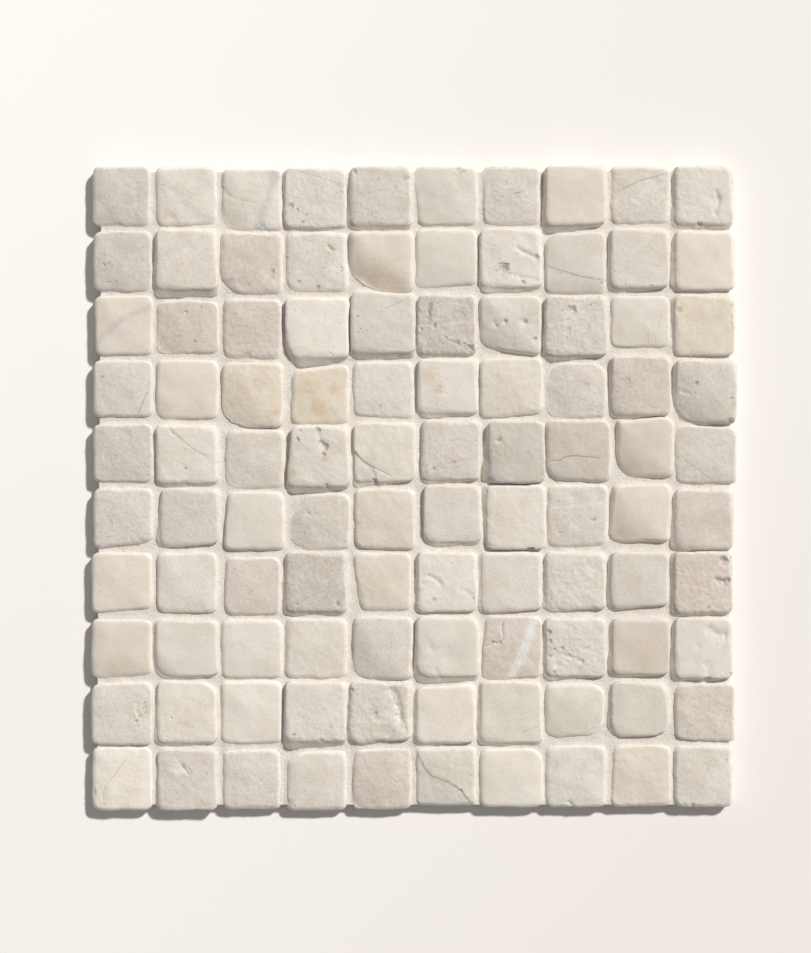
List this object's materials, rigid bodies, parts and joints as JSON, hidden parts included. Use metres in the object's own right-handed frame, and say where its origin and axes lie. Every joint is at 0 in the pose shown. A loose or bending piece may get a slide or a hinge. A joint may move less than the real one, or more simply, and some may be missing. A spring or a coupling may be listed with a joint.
{
  "type": "tumbled stone mosaic tile sheet",
  "caption": "Square mosaic sheet of tumbled stone tiles with worn rims, set in pale grout on a glass-fibre backing net, for facing walls and floors.",
  "frame": {"origin": "middle of the underside of the backing net", "axes": "+Z is out of the stone faces, +Y is the sheet's far side, which is the top of the picture, and +X is to the right of it"},
  "size_m": [0.3036, 0.3033, 0.0123],
  "materials": {
    "tumbled_stone": "tumbled, matt, cream and grey with pits, veins and stains",
    "grout": "fine sanded cement grout, matt, off white",
    "glass_fibre_net": "white coated glass-fibre net, matt"
  },
  "bodies": {
    "root": {"tile_row_01": "tumbled_stone", "tile_row_02": "tumbled_stone", "tile_row_03": "tumbled_stone", "tile_row_04": "tumbled_stone", "tile_row_05": "tumbled_stone", "tile_row_06": "tumbled_stone", "tile_row_07": "tumbled_stone", "tile_row_08": "tumbled_stone", "tile_row_09": "tumbled_stone", "tile_row_10": "tumbled_stone", "grout": "grout", "backing_net": "glass_fibre_net"}
  },
  "joints": []
}
